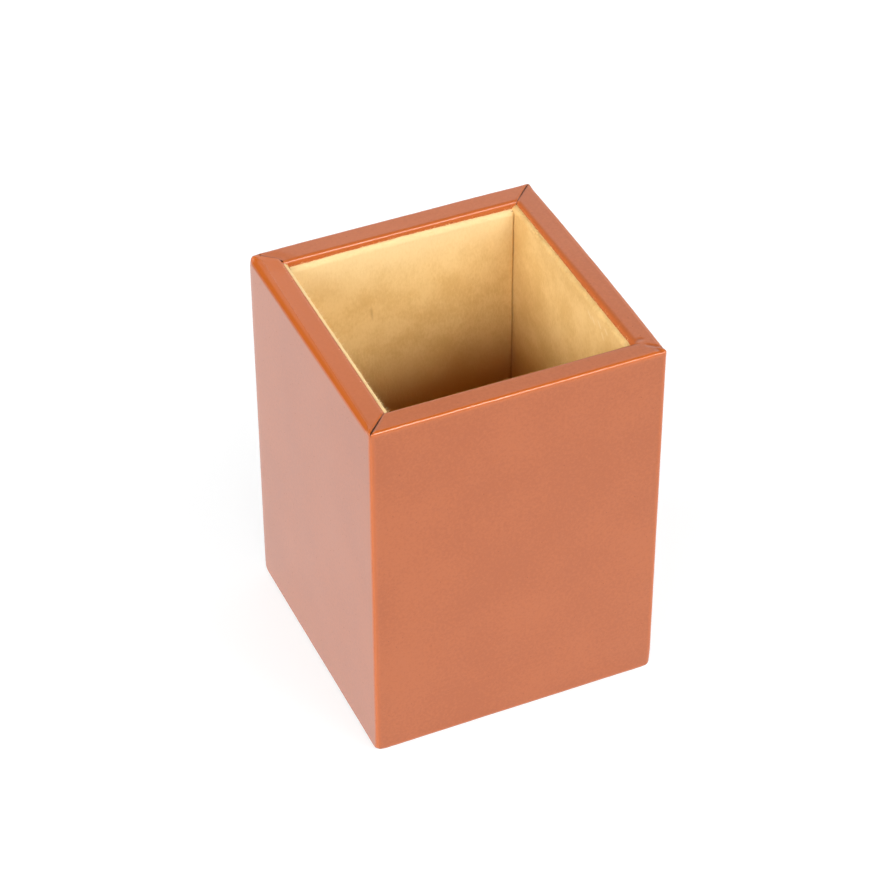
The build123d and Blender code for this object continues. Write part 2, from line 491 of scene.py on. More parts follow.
corner_details = {"wall": np.arange(len(WALLS)), "bow": np.array(WALL_BOW) * MM}
for name, lengths in CORNER_LENGTHS.items():
    corner_details[f"near_{name}"] = np.array(lengths) * MM
    corner_details[f"far_{name}"] = np.roll(lengths, -1) * MM
corner_details["far_lap"] = -corner_details["far_lap"]
corner_details["near_stain"] = CUT_STAIN_AND_SHADE
corner_details["far_stain"] = np.roll(CUT_STAIN_AND_SHADE, -1)
for side, rim_lights in zip(ENDS, RIM_PAINTED_LIGHT):
    corner_details[f"{side}_tone"] = rim_lights
for name, both_ends in END_LENGTHS.items():
    for side, lengths in zip(ENDS, both_ends):
        corner_details[f"{side}_{name}"] = np.array(lengths) * MM
print("values that each wall stores:", len(corner_details))

# %% Draw the pleat
def drawn_lines(name, lines):
    """Loose edges through lists of points, for a tree to measure from."""
    points = [point for line in lines for point in line]
    edges = []
    first = 0
    for line in lines:
        edges += [(first + step, first + step + 1) for step in range(len(line) - 1)]
        first += len(line)
    return new_worker(name, points, edges=edges)


def rim_lines(name, lines):
    """Lines drawn on the rim, from places in millimetres to the right and to the back of its middle."""
    return drawn_lines(name, [[(x * MM, y * MM, RIM_TOP) for x, y in line] for line in lines])


crease_lines = rim_lines("rim_creases", [
    [(32.5, -31.2), (33.2, -31.0), (33.8, -31.0)],
    [(34.2, -33.6), (35.3, -34.5), (36.2, -35.3), (37.0, -35.9)],
    [(35.75, -35.8), (35.9, -36.6), (36.0, -37.2)],
])
ridge_lines = rim_lines("rim_ridges", [
    [(36.3, -35.85), (36.4, -36.7), (36.5, -37.3)],
    [(36.95, -36.4), (37.15, -37.1)],
])
print("rim lines:", len(crease_lines.data.edges) + len(ridge_lines.data.edges), "runs")

# %% [markdown]
# The rule follows the order of the work. First the sheet is folded across: out of the mouth, over the rim,
# down the wall and under the base. Then the ends of each wall are drawn to their mitres, and last the edges
# of the box are rounded. Each of these steps is a function that adds its Math nodes to the tree, and a spot
# gathers what they know about one point of the sheet.

# %% Fold the sheet across
FOLD_INPUTS = [
    "Width", "Rim top", "Base", "Rim width", "Turn-in", "Edge radius", "Foot corner radius", "Cut run",
    "Base cut",
]
WELD = 0.01 * MM
CORNER_REACH = 3.0 * MM


def stored(tree, name):
    """A value that the points carry."""
    node = add_node(tree, "GeometryNodeInputNamedAttribute", {"Name": name}, data_type="FLOAT")
    return Field(tree, result(node))


def fold_across(across, rim_top, base, rim, turn_in, radius):
    """How far behind the outer face a point lies, and how high, with the fold into the mouth rounded."""
    wall_height = rim_top - base
    on_rim = (across - turn_in).most(0.0).least(rim)
    on_wall = (across - turn_in - rim).most(0.0).least(wall_height)
    on_under = (across - turn_in - rim - wall_height).most(0.0)
    depth = rim - on_rim + on_under
    level = rim_top - turn_in + across.least(turn_in) - on_wall
    inside = across.below(turn_in + rim / 2.0)
    core_depth = depth.least(rim - radius)
    core_level = level.least(rim_top - radius)
    reach = length_of(depth - core_depth, level - core_level)
    round_depth = core_depth + radius * (depth - core_depth) / reach
    round_level = core_level + radius * (level - core_level) / reach
    depth = depth + inside * (round_depth - depth)
    level = level + inside * (round_level - level)
    return depth, level, inside, on_rim, on_wall, wall_height


def blended(spot, name):
    """A stored value that goes evenly from the near end of a wall to its far end."""
    near, far = [stored(spot.tree, f"{side}_{name}") for side in ENDS]
    return near + spot.share * (far - near)


def find_spot(tree, given):
    """The sizes that the tree is given, and where a point lies along and across the folded sheet."""
    spot = SimpleNamespace(tree=tree)
    sizes = [Field(tree, given[name]) for name in FOLD_INPUTS]
    spot.width, spot.rim_top, spot.base, spot.rim, spot.turn_in = sizes[:5]
    spot.radius, spot.foot_radius, spot.run, spot.base_cut = sizes[5:]
    flat = add_node(tree, "ShaderNodeSeparateXYZ", [result(add_node(tree, "GeometryNodeInputPosition"))])
    spot.along, spot.across = [Field(tree, part) for part in flat.outputs[:2]]
    spot.half = spot.width / 2.0
    spot.share = spot.along / spot.width + 0.5
    spot.from_end = {"near": spot.along + spot.half, "far": spot.half - spot.along}
    spot.mouth_radius = blended(spot, "mouth")
    folded = fold_across(spot.across, spot.rim_top, spot.base, spot.rim, spot.turn_in, spot.mouth_radius)
    spot.depth, spot.level, spot.inside, spot.on_rim, spot.on_wall, spot.wall_height = folded
    spot.high_up = 1.0 - spot.on_wall.rise(0.0, CORNER_REACH)
    spot.above_wall = spot.across.below(spot.turn_in + spot.rim - WELD)
    return spot


# %% [markdown]
# Along the wall, the sheet is held between its two mitres. A cut is widest at the outer edge of the rim. It
# closes down the wall and opens again under the base. An end that laps reaches past its mitre and lies on
# the other fold, so it rises a little, and a trimmed end is pressed down into the glue.

# %% Draw the ends to their mitres
MITRE = math.sqrt(0.5)
TOWARD_END = {"near": -1.0, "far": 1.0}
CUT_LEAST = 0.25
CUT_WIDENS = (0.1, 0.55)
CUT_SOFTNESS = 0.8 * MM
LAP_REACH = 7.0 * MM
LAP_RISE_SHARE = 0.08


def cut_opening(spot, side):
    """How far the sheet stays back from the mitre at one end of a wall."""
    widens = spot.on_rim.rise(*[spot.rim * share for share in CUT_WIDENS])
    opening = stored(spot.tree, f"{side}_gap") * (widens * (1.0 - CUT_LEAST) + CUT_LEAST)
    opening = opening + spot.on_wall.rise(0.0, spot.run) * (stored(spot.tree, f"{side}_seam") - opening)
    at_base = spot.on_wall.rise(spot.wall_height - spot.run, spot.wall_height)
    opening = opening + at_base * (spot.base_cut - opening)
    return opening * MITRE


def draw_to_mitres(spot):
    """Where a point lies along the wall, and how far its fold rises there."""
    near = spot.depth - spot.half + cut_opening(spot, "near")
    far = spot.half - spot.depth - cut_opening(spot, "far")
    x = near + spot.share * (far - near)
    on_flap = spot.on_rim.rise(0.0, spot.mouth_radius) * spot.above_wall
    lift = spot.on_wall * 0.0
    for side in ENDS:
        lap = stored(spot.tree, f"{side}_lap")
        hold = on_flap * (1.0 - spot.from_end[side].rise(0.0, LAP_REACH))
        x = x + hold * lap.least(spot.depth) * TOWARD_END[side]
        lift = lift + hold * lap * LAP_RISE_SHARE
        soft = on_flap * (1.0 - spot.from_end[side].rise(0.0, CUT_SOFTNESS))
        lift = lift - soft * stored(spot.tree, f"{side}_sink")
    return x, lift


# %% [markdown]
# A box with rounded edges is a smaller box with a skin at one distance all round it. So each point is moved
# to that distance from the nearest point of the smaller box. The distance is the radius of the roll, which
# changes along the rim, at the upright edges and at the feet of the corners.

# %% Round the edges of the box
FOOT_REACH = 5.0 * MM
ROLL_REACH = 1.6 * MM
LOW_ROUND_SHARE = 0.5
LOW_CLIP_SHARE = 0.4
CLIP_FROM = 0.15


def round_box(point, half, base, rim_top, radius, amount):
    """Pull a point on a sharp box on to the same box with rounded edges, by an amount of 0 or 1."""
    low = (radius - half, radius - half, base + radius)
    high = (half - radius, half - radius, rim_top - radius)
    core = [value.most(least).least(most) for value, least, most in zip(point, low, high)]
    away = [value - inner for value, inner in zip(point, core)]
    reach = length_of(*away)
    return [
        value + amount * (inner + radius * off / reach - value)
        for value, inner, off in zip(point, core, away)
    ]


def roll_radius(spot):
    """The radius that the leather bends to at a point."""
    bend = spot.radius + spot.high_up * (blended(spot, "roll") - spot.radius)
    share = spot.high_up * (1.0 - LOW_ROUND_SHARE) + LOW_ROUND_SHARE
    for side in ENDS:
        upright = spot.radius + (stored(spot.tree, f"{side}_round") - spot.radius) * share
        bend = bend + (1.0 - spot.from_end[side].rise(0.0, CORNER_REACH)) * (upright - bend)
    at_foot = spot.on_wall.rise(spot.wall_height - FOOT_REACH, spot.wall_height)
    at_foot = at_foot * (1.0 - (spot.half - spot.along.size()).rise(0.0, CORNER_REACH))
    return bend + at_foot * (spot.foot_radius - bend)


def fold_point(spot):
    """Where a point of the blank goes on a wall that faces the front."""
    x, lift = draw_to_mitres(spot)
    past_roll = spot.across.rise(spot.turn_in - ROLL_REACH, spot.turn_in)
    rim_share = spot.on_rim / spot.rim
    y = spot.depth - spot.half + blended(spot, "inward") * (1.0 - rim_share) * past_roll
    sharp = (x, y, spot.level)
    x, y, z = round_box(sharp, spot.half, spot.base, spot.rim_top, roll_radius(spot), 1.0 - spot.inside)
    outward = spot.on_rim.rise(spot.rim * CLIP_FROM, spot.rim)
    outward = outward * (spot.high_up * (1.0 - LOW_CLIP_SHARE) + LOW_CLIP_SHARE)
    for side in ENDS:
        at_tip = 1.0 - spot.from_end[side].rise(0.0, CORNER_REACH)
        pull = stored(spot.tree, f"{side}_clip") * outward * at_tip
        x = x - pull * TOWARD_END[side]
        y = y + pull
    off_middle = spot.along / spot.half
    belly = 1.0 - off_middle * off_middle
    fade = 1.0 - spot.on_wall.rise(0.0, spot.wall_height)
    y = y - stored(spot.tree, "bow") * belly * rim_share * fade
    return x, y, z + lift


# %% [markdown]
# The finish has to know where the leather takes its edge colour of rubbing and painted light, where painted
# light lightens the rim and where it is cut, with painted shade in the cut. That is easiest to tell while
# the sheet is flat, so the tree stores these values on the points before it moves them.

# %% Mark the edges, the painted rim light and the cuts
# How far and how strongly the edge colour reaches: rubbing, and painted light.
EDGE_COLOUR_REACH = 1.7 * MM
MOUTH_EDGE_COLOUR = 0.6
UPRIGHT_EDGE_COLOUR = 0.8
STAIN_AND_SHADE_REACH = 0.3 * MM


def edge_marks(spot):
    """Edge colour (rubbing and painted light), painted rim light and cut darkness at a point, 0 to 1."""
    off_wall = spot.on_wall.below(WELD)
    past_mouth = spot.across - spot.turn_in
    past_rim = spot.across - spot.turn_in - spot.rim
    bends = (
        (past_mouth, MOUTH_EDGE_COLOUR),
        (past_rim, 1.0),
        (past_rim - spot.wall_height, 1.0),
        (spot.half - spot.along.size() + off_wall, UPRIGHT_EDGE_COLOUR),
    )
    reach = EDGE_COLOUR_REACH + off_wall * (blended(spot, "rub") - EDGE_COLOUR_REACH)
    burnish = spot.on_wall * 0.0
    for distance, rub_and_painted_light in bends:
        burnish = burnish.most((1.0 - distance.size().rise(0.0, reach)) * rub_and_painted_light)
    # Cut ends darken: stain, and painted shade in the gaps.
    stain = spot.on_wall * 0.0
    for side in ENDS:
        cut_here = stored(spot.tree, f"{side}_stain") * spot.above_wall
        stain = stain.most(cut_here * (1.0 - spot.from_end[side].rise(0.0, STAIN_AND_SHADE_REACH)))
    # Painted light lightens and reddens the rim.
    return {"burnish": burnish, "tone": blended(spot, "tone") * off_wall, "stain": stain}


def mark_points(tree, sheet, marks):
    """Store values on the points of a sheet, each under its name."""
    for name, value in marks.items():
        feeds = {"Geometry": sheet, "Name": name, "Value": value}
        sheet = result(add_node(tree, "GeometryNodeStoreNamedAttribute", feeds, data_type="FLOAT"))
    return sheet


# %% Build the tree that folds the blank
def fold_tree():
    """The rule that folds the blank on to the front, turns each wall to its side and joins the walls."""
    tree, given = new_tree("fold_leather", dict.fromkeys(FOLD_INPUTS, "size"))
    spot = find_spot(tree, given)
    at_front = add_node(tree, "ShaderNodeCombineXYZ", fold_point(spot))
    turn = {"Vector": result(at_front), "Angle": stored(tree, "wall") * (math.pi / 2)}
    at_side = add_node(tree, "ShaderNodeVectorRotate", turn, rotation_type="Z_AXIS")
    marked = mark_points(tree, given["Sheet"], edge_marks(spot))
    move = {"Geometry": marked, "Position": result(at_side)}
    folded = add_node(tree, "GeometryNodeSetPosition", move)
    join = {"Geometry": result(folded), "Distance": WELD}
    close_tree(tree, result(add_node(tree, "GeometryNodeMergeByDistance", join)), LEATHER)
    return tree


FOLD_TREE = fold_tree()
print("fold tree:", len(FOLD_TREE.nodes), "nodes")

# %% [markdown]
# Board, glue and leather are never quite flat. A second tree ripples any sheet along its normals: slow
# waves over the whole sheet, small lumps where an attribute asks for them, and grooves and ridges along
# drawn lines, whose distance the Geometry Proximity node measures. The tree stores how near each point is
# to either, for the finish to read: on the leather, ridges take the edge colour and creases painted shade;
# on the suede, ridges are rubbed pale and creases are dark marks.

# %% Build the tree that ripples a sheet
RIPPLE_INPUTS = {
    "Wave size": "size", "Wave depth": "size", "Lump size": "size", "Lump depth": "size",
    "Line width": "size", "Line depth": "size", "Creases": "object", "Ridges": "object", "Finish": "finish",
}


def ripple_tree(lumps_where):
    """Waves everywhere, lumps by the named attribute, and grooves and ridges along drawn lines."""
    tree, given = new_tree(f"ripple_{lumps_where}", RIPPLE_INPUTS)
    place = result(add_node(tree, "GeometryNodeInputPosition"))

    def lumps(size):
        feeds = {"Vector": place, "Scale": 1.0 / Field(tree, given[size]), "Detail": 1.0}
        return Field(tree, add_node(tree, "ShaderNodeTexNoise", feeds).outputs[0]) - 0.5

    height = lumps("Wave size") * Field(tree, given["Wave depth"])
    height = height + lumps("Lump size") * Field(tree, given["Lump depth"]) * stored(tree, lumps_where)

    def beside(lines):
        drawn = add_node(tree, "GeometryNodeObjectInfo", {"Object": given[lines]}).outputs["Geometry"]
        near = add_node(tree, "GeometryNodeProximity", [drawn], target_element="EDGES")
        return 1.0 - Field(tree, near.outputs["Distance"]).rise(0.0, given["Line width"])

    ridge, crease = beside("Ridges"), beside("Creases")
    height = height + (ridge - crease) * Field(tree, given["Line depth"])
    # Closeness to creases: painted shade on the leather, dark marks on the suede.
    sheet = mark_points(tree, given["Sheet"], {"ridge": ridge, "crease": crease})
    normal = result(add_node(tree, "GeometryNodeInputNormal"))
    along_normal = {"Vector": normal, "Scale": height}
    offset = add_node(tree, "ShaderNodeVectorMath", along_normal, operation="SCALE")
    moved = add_node(tree, "GeometryNodeSetPosition", {"Geometry": sheet, "Offset": result(offset)})
    close_tree(tree, result(moved), given["Finish"])
    return tree


LEATHER_RIPPLE = ripple_tree("burnish")
print("ripple tree:", len(LEATHER_RIPPLE.nodes), "nodes")

# %% Fold, ripple and thicken the leather
blank = leather_blank(corner_details)
use_tree(blank, FOLD_TREE, {
    "Width": OUTER_WIDTH, "Rim top": RIM_TOP, "Base": COVER_BASE, "Rim width": RIM_WIDTH,
    "Turn-in": TURN_IN, "Edge radius": EDGE_RADIUS, "Foot corner radius": 1.5 * MM, "Cut run": 1.3 * MM,
    "Base cut": 0.3 * MM,
})
use_tree(blank, LEATHER_RIPPLE, {
    "Wave size": 26 * MM, "Wave depth": 0.16 * MM, "Lump size": 2.6 * MM, "Lump depth": 0.10 * MM,
    "Line width": 0.9 * MM, "Line depth": 0.09 * MM,
    "Creases": crease_lines, "Ridges": ridge_lines, "Finish": LEATHER,
})
solidify(blank, LEATHER_THICKNESS)
leather = plain_piece(blank, "leather_cover")
for drawn in (crease_lines, ridge_lines):
    bpy.data.objects.remove(drawn)
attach(leather, "root")
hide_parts("leather_wrap")
flap_area = OUTER_WIDTH * WALL_HEIGHT + (OUTER_WIDTH - RIM_WIDTH) * RIM_WIDTH
flap_area += (OUTER_WIDTH - 2 * RIM_WIDTH) * TURN_IN + (OUTER_WIDTH - TURN_UNDER) * TURN_UNDER

# %% [markdown]
# ## The suede finish
# The lining is golden-tan suede. Its nap scatters light, so it looks matt and soft, lighter where the nap
# stands up and darker where it was brushed the other way. Broad uneven strokes and a fine fibre grain give
# that, and a little sheen gives the bloom at grazing angles. The top of the lining is painted paler as
# painted light, and hands have rubbed the nap pale on its ridges; two attributes of the mesh mark these.
# Lower down the well the colour is painted a deeper, redder brown as painted shade.

# %% Mix the suede finish
SUEDE_LIGHT = (0.87, 0.600, 0.250, 1.0)
SUEDE_DEEP = (0.755, 0.478, 0.172, 1.0)
SUEDE_MARK = (0.45, 0.22, 0.06, 1.0)
# Painted light on the top of the lining, and rubbed nap on the ridges.
SUEDE_RUBBED_AND_LIT = (0.94, 0.74, 0.40, 1.0)
# Painted shade, lower down the well.
SUEDE_PAINTED_SHADE = (0.66, 0.345, 0.115, 1.0)
SHEEN_GOLD = (1.0, 0.86, 0.62, 1.0)
PAINTED_SHADE_BELOW = (45 * MM, 69 * MM)
PAINTED_SHADE_TINT = 0.85
RIDGE_RUB = 0.6
MARK_TINT = 0.5
STROKE_SIZE = 9 * MM
FIBRE_SIZE = 0.5 * MM
FIBRE_STRETCH = (1.0, 1.0, 0.45)
TUFT_SIZE = 2.2 * MM
DARK_SPECKS = {"spacing": 12 * MM, "radius": 0.25 * MM, "share": 0.3}
PILE_DEPTH = 0.09 * MM


def suede_finish():
    material, tree, shader, place = new_finish(
        "golden_suede", ior=1.35, roughness=0.95, specular_ior_level=0.15,
        sheen_weight=0.15, sheen_roughness=0.5, sheen_tint=SHEEN_GOLD,
    )
    strokes = noise(tree, place, STROKE_SIZE, detail=3.0, roughness=0.6)
    fibres = noise(tree, place, FIBRE_SIZE, detail=3.0, roughness=0.7, stretch=FIBRE_STRETCH)
    tufts = noise(tree, place, TUFT_SIZE)
    height = Field(tree, add_node(tree, "ShaderNodeSeparateXYZ", [place]).outputs["Z"])
    rub_and_painted_light = carried(tree, "rub_and_painted_light").most(carried(tree, "ridge") * RIDGE_RUB)
    marks = carried(tree, "crease").most(spots(tree, place, **DARK_SPECKS))

    colour = tint(tree, (strokes * 0.6 + fibres * 0.4).rise(0.34, 0.66), SUEDE_DEEP, SUEDE_LIGHT)
    # Painted shade: darker and redder lower down the well.
    colour = tint(tree, (1.0 - height.rise(*PAINTED_SHADE_BELOW)) * PAINTED_SHADE_TINT, colour, SUEDE_PAINTED_SHADE)
    # Painted light: paler along the top of the lining; the ridges are rubbed nap.
    colour = tint(tree, rub_and_painted_light * (0.7 + fibres * 0.6).least(1.0), colour, SUEDE_RUBBED_AND_LIT)
    colour = tint(tree, marks * MARK_TINT, colour, SUEDE_MARK)
    tree.links.new(colour, shader.inputs["Base Color"])
    bump(tree, shader, fibres * 0.7 + tufts * 0.3, PILE_DEPTH)
    return material


SUEDE = suede_finish()
print("finish:", SUEDE.name)

# %% [markdown]
# ## The lining panels
# Each wall of the well has a card covered with suede, and the suede is drawn over the card's top edge in a
# soft roll. A block with a bevel would do from afar, but the roll catches the light all round the mouth, so
# each panel is a sheet that follows the card up its face and over its top. The side panels are taller and
# run the whole depth of the well, and the end panels fit between them. No roll is even: a short list for
# each panel says how much higher it stands and how far it leans into the well at places along it. Other
# values say how far its top is tucked in at the two ends, how much narrower it is lower down, how much
# paler its top is painted as painted light, and how far its ends roll back.

# %% Describe how the panels stand
PANEL_RISE = {
    "back": [(0.0, -0.10), (0.2, 0.10), (0.5, 0.28), (0.8, 0.08), (1.0, -0.12)],
    "left": [(0.0, 0.70), (0.5, 0.68), (1.0, 0.72)],
    "front": [(0.0, -0.10), (0.45, 0.15), (1.0, -0.10)],
    "right": [(0.0, 0.10), (0.3, 0.22), (0.6, 0.05), (1.0, 0.0)],
}
PANEL_LEAN = {
    "back": [(0.0, 0.25), (0.5, 0.10), (1.0, 0.25)],
    "left": [(0.0, 0.30), (0.5, 0.65), (1.0, 1.05)],
    "front": [(0.0, 0.25), (0.5, 0.2), (1.0, 0.25)],
    "right": [(0.0, 0.8), (0.04, 0.6), (0.09, 0.16), (0.4, 0.10), (1.0, 0.20)],
}
PANEL_TUCK = {"back": (0.85, 0.05), "left": (0.0, 0.0), "front": (0.15, 0.4), "right": (0.0, 0.0)}
PANEL_GAP = {"back": -0.05, "left": 0.0, "front": 0.1, "right": 0.0}
# How much paler each panel's top is painted, as painted light.
PANEL_TOP_LIGHT = {"back": 0.9, "left": 1.0, "front": 0.4, "right": 0.05}
END_ROLL_SHARE = {"back": 0.35, "left": 0.0, "front": 0.35, "right": 0.0}
FINE_MARKS = 201
SMOOTHED_OVER = 9


def along_panel(share, marks):
    """Lengths in metres at shares of a panel's width, smoothly between marks in millimetres."""
    places, sizes = zip(*marks)
    fine = np.linspace(0.0, 1.0, FINE_MARKS)
    level = np.pad(np.interp(fine, places, sizes), SMOOTHED_OVER // 2, mode="edge")
    soft = np.convolve(level, np.full(SMOOTHED_OVER, 1 / SMOOTHED_OVER), mode="valid")
    return np.interp(share, fine, soft) * MM


print("back panel rises", along_panel(np.array([0, 0.5, 1]), PANEL_RISE["back"]) / MM, "mm")

# %% [markdown]
# Brushed suede is hairy where it bends over the top of a card. The hairs could be a particle system, but a
# tree keeps them as plain meshes: it scatters points where the attribute nap is high and puts one
# three-sided spike on each, tilted at random. Most are short, and a few are long.

# %% Build the tree that raises the nap
NAP_DENSITY = 1.2e7
NAP_LENGTH = 1.3 * MM
NAP_THICKNESS = 0.05 * MM
NAP_SHORTEST = 0.25
NAP_FEW_LONG = 3.0
NAP_TILT = 0.9
NAP_SEED = 11


def nap_tree():
    """Short fibres on a sheet, dense where the attribute nap is high, each a three-sided spike."""
    tree, given = new_tree("raise_nap", {"Fibres": "count", "Length": "size", "Thickness": "size"})
    density = Field(tree, given["Fibres"]) * stored(tree, "nap") * stored(tree, "nap")
    scatter = {"Mesh": given["Sheet"], "Density": density, "Seed": NAP_SEED}
    points = add_node(tree, "GeometryNodeDistributePointsOnFaces", scatter)
    spike = {
        "Vertices": 3, "Radius Top": 0.0, "Radius Bottom": given["Thickness"], "Depth": given["Length"],
    }
    blade = add_node(tree, "GeometryNodeMeshCone", spike)
    most = (NAP_TILT, NAP_TILT, math.pi)
    tilt = {"Min": tuple(-angle for angle in most), "Max": most, "Seed": NAP_SEED}
    lean = add_node(tree, "FunctionNodeRandomValue", tilt, data_type="FLOAT_VECTOR")
    turned = add_node(tree, "FunctionNodeRotateRotation", rotation_space="LOCAL")
    tree.links.new(points.outputs["Rotation"], turned.inputs[0])
    tree.links.new(result(lean), turned.inputs[1])
    chance = add_node(tree, "FunctionNodeRandomValue", {"Seed": NAP_SEED + 1}, data_type="FLOAT")
    growth = Field(tree, result(chance)).calc("POWER", NAP_FEW_LONG)
    growth = growth * (1.0 - NAP_SHORTEST) + NAP_SHORTEST
    fibres = add_node(tree, "GeometryNodeInstanceOnPoints", {
        "Points": points.outputs["Points"], "Instance": blade.outputs["Mesh"], "Rotation": result(turned),
        "Scale": growth,
    })
    close_tree(tree, result(fibres), SUEDE)
    return tree


NAP_TREE = nap_tree()
print("nap tree:", len(NAP_TREE.nodes), "nodes")

# %% [markdown]
# A panel is worked out as if it stood at the back of the well: rows of points go up its face and over the
# roll at its top, closest where it bends. It is then turned to its own wall. The sheet and the fringe of
# fibres start from the same points and the same ripples, so the fibres stand on the suede.

# %% Shape a panel that rolls over its top
END_STRETCH = 5.0 * MM
END_ROLL = 0.6 * MM
TOP_STRETCH = 8.0 * MM
ROLL_DROP = 1.6 * MM
ROLL_STEPS = 12
LEAN_REACH = 3.5 * MM
RISE_REACH = 3 * LEAN_REACH
# How far down a panel's top the painted light reaches.
TOP_LIGHT_REACH = 20.0 * MM
SEAT_DEPTH = 0.25 * MM


def panel_profile(low, high, thickness):
    """Heights and distances from the wall, up the face and over the rolled top."""
    face = low + stations((high - low - TOP_STRETCH - ROLL_DROP, 2.6 * MM), (TOP_STRETCH, 0.4 * MM))
    turn = np.linspace(0, math.pi / 2, ROLL_STEPS + 1)[1:]
    heights = np.concatenate([face, high - ROLL_DROP + ROLL_DROP * np.sin(turn)])
    depths = np.concatenate([np.full(len(face), thickness), thickness * np.cos(turn)])
    return heights, depths


def panel_columns(width):
    """Positions across a panel, closest at its rolled ends."""
    end = [(END_ROLL, 0.15 * MM), (END_STRETCH - END_ROLL, 0.4 * MM)]
    return stations(*end, (width - 2 * END_STRETCH, 0.5 * MM), *end[::-1])


def shape_panel(wall, low, high):
    """A panel at the back: points, faces, each point's nap and painted top light, and the flat size."""
    thickness = high.y - low.y
    width = high.x - low.x
    heights, depths = panel_profile(low.z, high.z, thickness)
    columns = panel_columns(width)
    share = (columns / width)[:, None]
    reaches = (LEAN_REACH, RISE_REACH, TOP_LIGHT_REACH)
    below_top = high.z - heights
    # The third of these is the painted light on the panel's top.
    near_top, up_to_top, rub_and_painted_light = [np.clip(1 - below_top / reach, 0, 1) ** 2 for reach in reaches]

    lean = along_panel(share, PANEL_LEAN[wall]) * near_top * depths / thickness
    rise = along_panel(share, PANEL_RISE[wall]) * up_to_top
    from_end = np.minimum(columns, width - columns)[:, None]
    end_roll = np.clip(1 - from_end / END_ROLL, 0, 1) ** 2 * depths * END_ROLL_SHARE[wall]
    seat = SEAT_DEPTH * near_top * (1 - depths / thickness)
    tuck_near, tuck_far = np.array(PANEL_TUCK[wall]) * MM
    shrink = (tuck_near + tuck_far) * near_top + PANEL_GAP[wall] * MM * (1 - up_to_top)
    x = low.x + tuck_near * near_top + share * (width - shrink)
    y = high.y - depths - lean + end_roll + seat

    points = np.stack([x, y, heights + rise], axis=-1).reshape(-1, 3)
    faces = [face[::-1] for face in grid_faces(len(columns), len(heights))]
    marks = {"nap": near_top, "rub_and_painted_light": rub_and_painted_light * PANEL_TOP_LIGHT[wall]}
    marks = {name: np.tile(values, len(columns)) for name, values in marks.items()}
    length = np.hypot(np.diff(heights), np.diff(depths)).sum()
    return points, faces, marks, (width, float(length))


# %% Make a panel with its fringe
SUEDE_RIPPLE = ripple_tree("nap")


def lining_panel(wall, turn, suede_thickness, creases, ridges):
    """The suede of one wall, turned to it about the upright axis: sheet, fringe and flat size."""
    node = f"{wall}_lining_suede"
    spin = Matrix.Rotation(turn, 3, "Z")
    corners = [spin.inverted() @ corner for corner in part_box(node)]
    low = Vector(map(min, *corners))
    high = Vector(map(max, *corners))
    points, faces, marks, flat_size = shape_panel(wall, low, high)

    def rippled(name):
        worker = new_worker(name, points @ np.array(spin).T, faces)
        for mark, values in marks.items():
            store_values(worker, mark, values)
        use_tree(worker, SUEDE_RIPPLE, {
            "Wave size": 14 * MM, "Wave depth": 0.12 * MM, "Lump size": 1.0 * MM, "Lump depth": 0.30 * MM,
            "Line width": 0.6 * MM, "Line depth": 0.08 * MM, "Creases": creases, "Ridges": ridges,
            "Finish": SUEDE,
        })
        return worker

    sheet = rippled(f"{node}_flat")
    solidify(sheet, suede_thickness)
    fringe = rippled(f"{node}_fringe")
    use_tree(fringe, NAP_TREE, {"Fibres": NAP_DENSITY, "Length": NAP_LENGTH, "Thickness": NAP_THICKNESS})
    panel = plain_piece(sheet, f"{wall}_lining_panel")
    return panel, plain_piece(fringe, f"{wall}_lining_nap"), flat_size


# %% [markdown]
# Use has left two short dark marks on the back lining and a few pale rubbed creases on the right one. They
# are drawn as lines on the faces of the well, for the ripple tree to measure from.

# %% Line the four walls
SUEDE_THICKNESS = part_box("left_lining_suede")[1].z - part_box("left_lining_card")[1].z
well_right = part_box("right_lining_suede")[0].x
well_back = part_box("back_lining_suede")[0].y
nap_marks = drawn_lines("nap_marks", [
    [(-9.0 * MM, well_back, 78.0 * MM), (-8.1 * MM, well_back, 80.4 * MM)],
    [(-6.6 * MM, well_back, 75.0 * MM), (-6.3 * MM, well_back, 75.1 * MM)],
])
nap_ridges = drawn_lines("nap_ridges", [
    [(well_right, y * MM, z * MM) for y, z in line]
    for line in (
        [(-11.2, 96.6), (-12.6, 95.6)], [(-13.4, 96.2), (-14.6, 95.3)], [(-16.4, 97.2), (-17.8, 96.2)],
        [(-20.0, 97.4), (-21.2, 96.6)], [(-18.6, 95.0), (-19.4, 94.0)],
    )
])
for steps, wall in enumerate(("back", "left", "front", "right")):
    turn = steps * math.pi / 2
    panel, fringe, flat_size = lining_panel(wall, turn, SUEDE_THICKNESS, nap_marks, nap_ridges)
    for piece in (panel, fringe):
        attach(piece, "root")
        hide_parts(f"{wall}_lining_suede")
    print(f"{wall} panel, flat:", [round(side / MM, 1) for side in flat_size], "mm")
for drawn in (nap_marks, nap_ridges):
    bpy.data.objects.remove(drawn)

# %% [markdown]
# The floor of the well is one more piece of the same suede, laid on its card under the feet of the walls.
# A plain grid of points, rippled and thickened as the walls are, is enough for it.

# %% Lay the floor lining
FLOOR_STEP = 1.5 * MM
FAR_BELOW = -1.0


def flat_sheet(name, low, high, level, step):
    """A level grid of points over a rectangle, facing up, with an attribute for lumps of 1 all over."""
    columns = np.linspace(low.x, high.x, round((high.x - low.x) / step) + 1)
    rows = np.linspace(high.y, low.y, round((high.y - low.y) / step) + 1)
    points = np.stack(np.meshgrid(columns, rows, indexing="ij"), axis=-1).reshape(-1, 2)
    points = np.column_stack([points, np.full(len(points), level)])
    worker = new_worker(name, points, grid_faces(len(columns), len(rows)))
    store_values(worker, "nap", np.ones(len(points)))
    return worker


